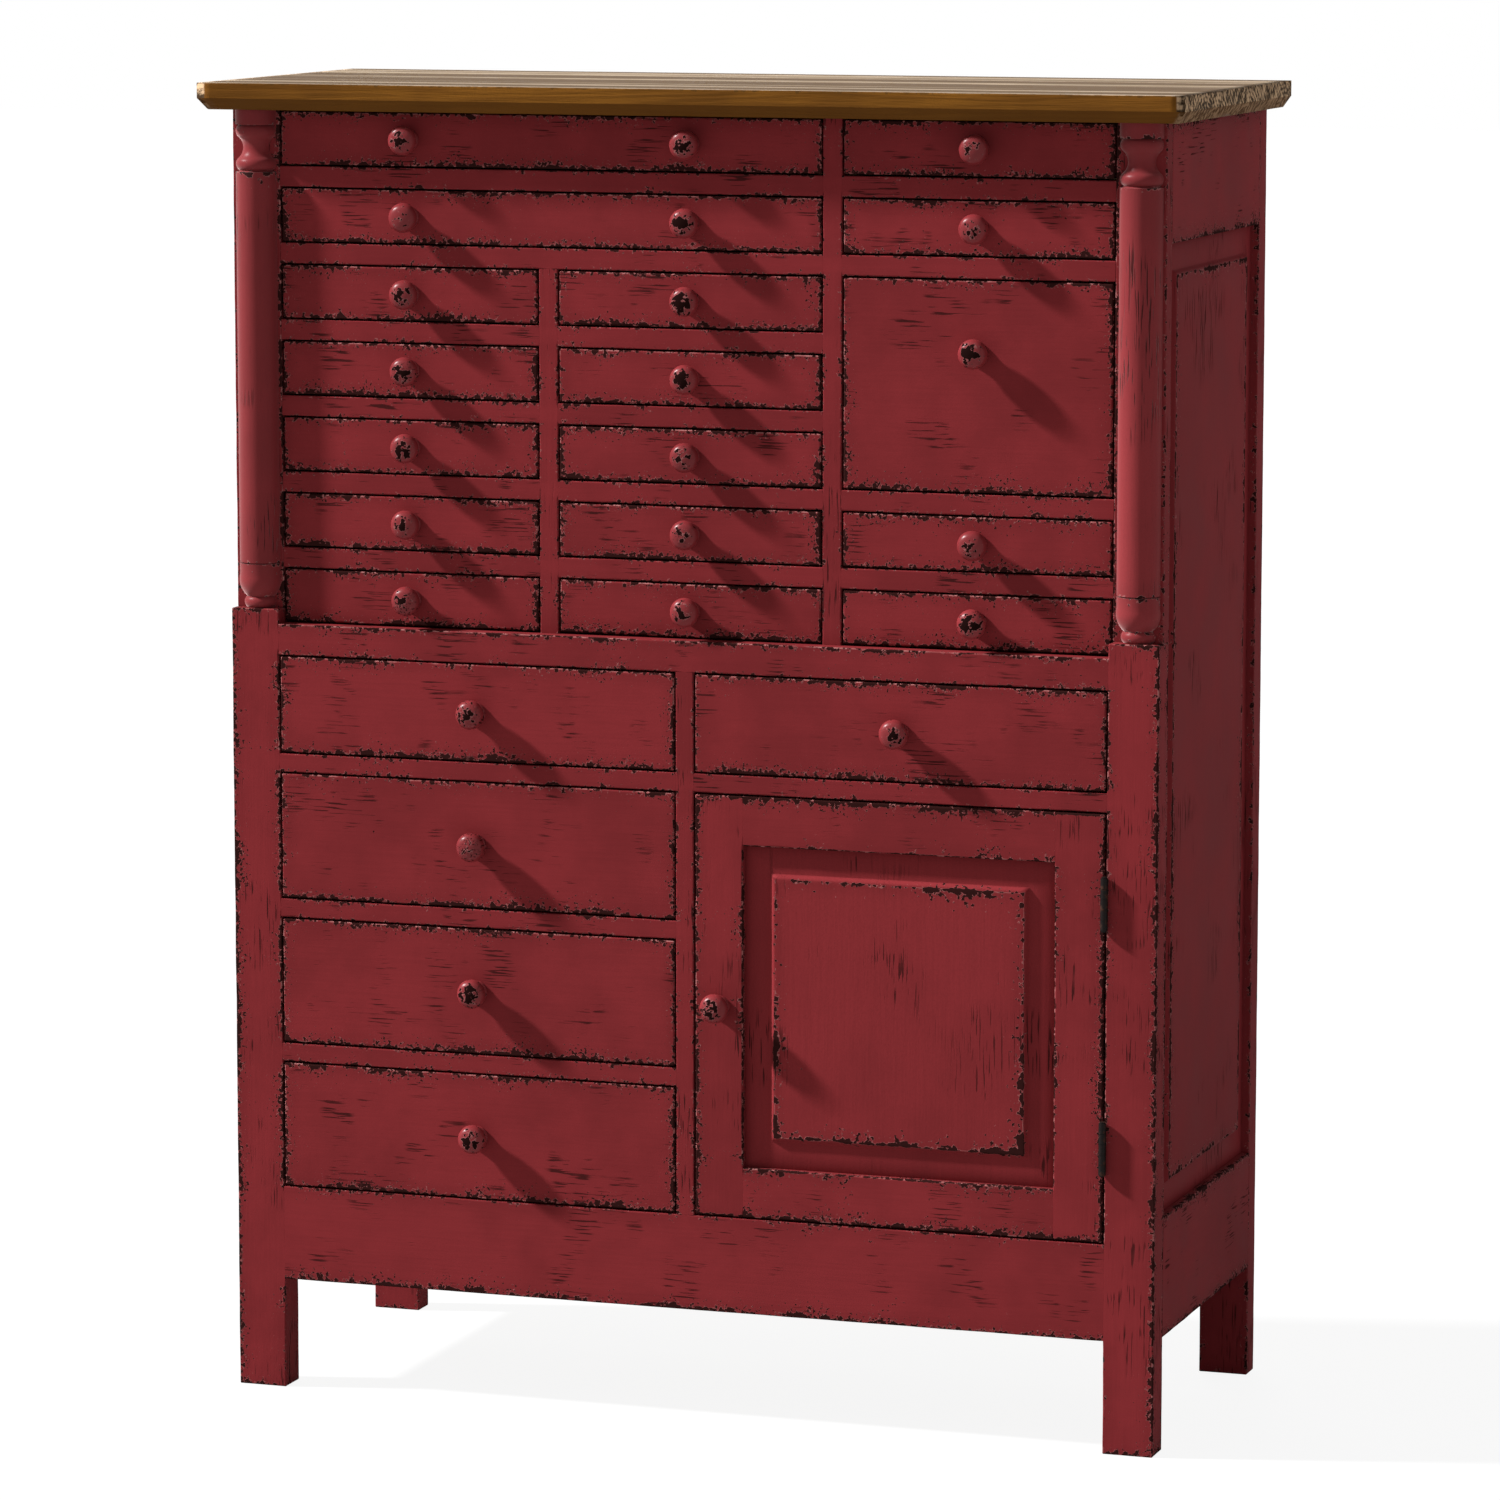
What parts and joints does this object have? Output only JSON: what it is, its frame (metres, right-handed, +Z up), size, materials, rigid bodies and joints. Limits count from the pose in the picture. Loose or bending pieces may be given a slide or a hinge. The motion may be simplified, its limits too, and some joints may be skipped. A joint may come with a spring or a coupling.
{
  "type": "multi-drawer chest",
  "caption": "Free-standing wooden chest with rows of small drawers over larger drawers and a hinged panelled door, turned knobs, half columns and a planked top.",
  "frame": {"origin": "on the floor, under the middle of the chest's outer box", "axes": "+Z up, +X to the right as seen from the front, fronts facing -Y"},
  "size_m": [1.104, 0.455, 1.4405],
  "materials": {
    "red_paint": "worn matt red paint",
    "varnished_top": "old varnish worn to bare wood",
    "bare_wood": "bare softwood",
    "dark_iron": "dark aged iron"
  },
  "bodies": {
    "carcass": {"legs": "red_paint", "upper_corner_stiles": "red_paint", "half_columns": "red_paint", "side_rails": "red_paint", "side_panels": "red_paint", "top_planks": "varnished_top", "upper_face_rails": "red_paint", "lower_face_rails": "red_paint", "case_boards": "bare_wood", "back_panel": "bare_wood", "drawer_runners": "bare_wood", "hinge_frame_leaves": "dark_iron", "hinge_pins": "dark_iron"},
    "door": {"door_frame": "red_paint", "door_panel": "red_paint", "hinge_door_leaves": "dark_iron"},
    "wide_drawer_1": {"wide_drawer_1_front": "red_paint", "wide_drawer_1_box": "bare_wood"},
    "wide_drawer_2": {"wide_drawer_2_front": "red_paint", "wide_drawer_2_box": "bare_wood"},
    "left_drawer_3": {"left_drawer_3_front": "red_paint", "left_drawer_3_box": "bare_wood"},
    "middle_drawer_3": {"middle_drawer_3_front": "red_paint", "middle_drawer_3_box": "bare_wood"},
    "left_drawer_4": {"left_drawer_4_front": "red_paint", "left_drawer_4_box": "bare_wood"},
    "middle_drawer_4": {"middle_drawer_4_front": "red_paint", "middle_drawer_4_box": "bare_wood"},
    "left_drawer_5": {"left_drawer_5_front": "red_paint", "left_drawer_5_box": "bare_wood"},
    "middle_drawer_5": {"middle_drawer_5_front": "red_paint", "middle_drawer_5_box": "bare_wood"},
    "left_drawer_6": {"left_drawer_6_front": "red_paint", "left_drawer_6_box": "bare_wood"},
    "middle_drawer_6": {"middle_drawer_6_front": "red_paint", "middle_drawer_6_box": "bare_wood"},
    "left_drawer_7": {"left_drawer_7_front": "red_paint", "left_drawer_7_box": "bare_wood"},
    "middle_drawer_7": {"middle_drawer_7_front": "red_paint", "middle_drawer_7_box": "bare_wood"},
    "right_drawer_1": {"right_drawer_1_front": "red_paint", "right_drawer_1_box": "bare_wood"},
    "right_drawer_2": {"right_drawer_2_front": "red_paint", "right_drawer_2_box": "bare_wood"},
    "right_drawer_6": {"right_drawer_6_front": "red_paint", "right_drawer_6_box": "bare_wood"},
    "right_drawer_7": {"right_drawer_7_front": "red_paint", "right_drawer_7_box": "bare_wood"},
    "deep_drawer": {"deep_drawer_front": "red_paint", "deep_drawer_box": "bare_wood"},
    "lower_left_drawer_1": {"lower_left_drawer_1_front": "red_paint", "lower_left_drawer_1_box": "bare_wood"},
    "lower_left_drawer_2": {"lower_left_drawer_2_front": "red_paint", "lower_left_drawer_2_box": "bare_wood"},
    "lower_left_drawer_3": {"lower_left_drawer_3_front": "red_paint", "lower_left_drawer_3_box": "bare_wood"},
    "lower_left_drawer_4": {"lower_left_drawer_4_front": "red_paint", "lower_left_drawer_4_box": "bare_wood"},
    "lower_right_drawer": {"lower_right_drawer_front": "red_paint", "lower_right_drawer_box": "bare_wood"}
  },
  "joints": [
    {"name": "wide_drawer_1_slide", "type": "slide", "parent": "carcass", "child": "wide_drawer_1", "axis": [0, -1, 0], "range_m": [0, 0.26]},
    {"name": "wide_drawer_2_slide", "type": "slide", "parent": "carcass", "child": "wide_drawer_2", "axis": [0, -1, 0], "range_m": [0, 0.26]},
    {"name": "left_drawer_3_slide", "type": "slide", "parent": "carcass", "child": "left_drawer_3", "axis": [0, -1, 0], "range_m": [0, 0.26]},
    {"name": "middle_drawer_3_slide", "type": "slide", "parent": "carcass", "child": "middle_drawer_3", "axis": [0, -1, 0], "range_m": [0, 0.26]},
    {"name": "left_drawer_4_slide", "type": "slide", "parent": "carcass", "child": "left_drawer_4", "axis": [0, -1, 0], "range_m": [0, 0.26]},
    {"name": "middle_drawer_4_slide", "type": "slide", "parent": "carcass", "child": "middle_drawer_4", "axis": [0, -1, 0], "range_m": [0, 0.26]},
    {"name": "left_drawer_5_slide", "type": "slide", "parent": "carcass", "child": "left_drawer_5", "axis": [0, -1, 0], "range_m": [0, 0.26]},
    {"name": "middle_drawer_5_slide", "type": "slide", "parent": "carcass", "child": "middle_drawer_5", "axis": [0, -1, 0], "range_m": [0, 0.26]},
    {"name": "left_drawer_6_slide", "type": "slide", "parent": "carcass", "child": "left_drawer_6", "axis": [0, -1, 0], "range_m": [0, 0.26]},
    {"name": "middle_drawer_6_slide", "type": "slide", "parent": "carcass", "child": "middle_drawer_6", "axis": [0, -1, 0], "range_m": [0, 0.26]},
    {"name": "left_drawer_7_slide", "type": "slide", "parent": "carcass", "child": "left_drawer_7", "axis": [0, -1, 0], "range_m": [0, 0.26]},
    {"name": "middle_drawer_7_slide", "type": "slide", "parent": "carcass", "child": "middle_drawer_7", "axis": [0, -1, 0], "range_m": [0, 0.26]},
    {"name": "right_drawer_1_slide", "type": "slide", "parent": "carcass", "child": "right_drawer_1", "axis": [0, -1, 0], "range_m": [0, 0.26]},
    {"name": "right_drawer_2_slide", "type": "slide", "parent": "carcass", "child": "right_drawer_2", "axis": [0, -1, 0], "range_m": [0, 0.26]},
    {"name": "right_drawer_6_slide", "type": "slide", "parent": "carcass", "child": "right_drawer_6", "axis": [0, -1, 0], "range_m": [0, 0.26]},
    {"name": "right_drawer_7_slide", "type": "slide", "parent": "carcass", "child": "right_drawer_7", "axis": [0, -1, 0], "range_m": [0, 0.26]},
    {"name": "deep_drawer_slide", "type": "slide", "parent": "carcass", "child": "deep_drawer", "axis": [0, -1, 0], "range_m": [0, 0.26]},
    {"name": "lower_left_drawer_1_slide", "type": "slide", "parent": "carcass", "child": "lower_left_drawer_1", "axis": [0, -1, 0], "range_m": [0, 0.275]},
    {"name": "lower_left_drawer_2_slide", "type": "slide", "parent": "carcass", "child": "lower_left_drawer_2", "axis": [0, -1, 0], "range_m": [0, 0.275]},
    {"name": "lower_left_drawer_3_slide", "type": "slide", "parent": "carcass", "child": "lower_left_drawer_3", "axis": [0, -1, 0], "range_m": [0, 0.275]},
    {"name": "lower_left_drawer_4_slide", "type": "slide", "parent": "carcass", "child": "lower_left_drawer_4", "axis": [0, -1, 0], "range_m": [0, 0.275]},
    {"name": "lower_right_drawer_slide", "type": "slide", "parent": "carcass", "child": "lower_right_drawer", "axis": [0, -1, 0], "range_m": [0, 0.275]},
    {"name": "door_hinge", "type": "hinge", "parent": "carcass", "child": "door", "pos_m": [0.46875, -0.2048, 0.4585], "axis": [0, 0, 1], "range_deg": [0, 165]}
  ]
}
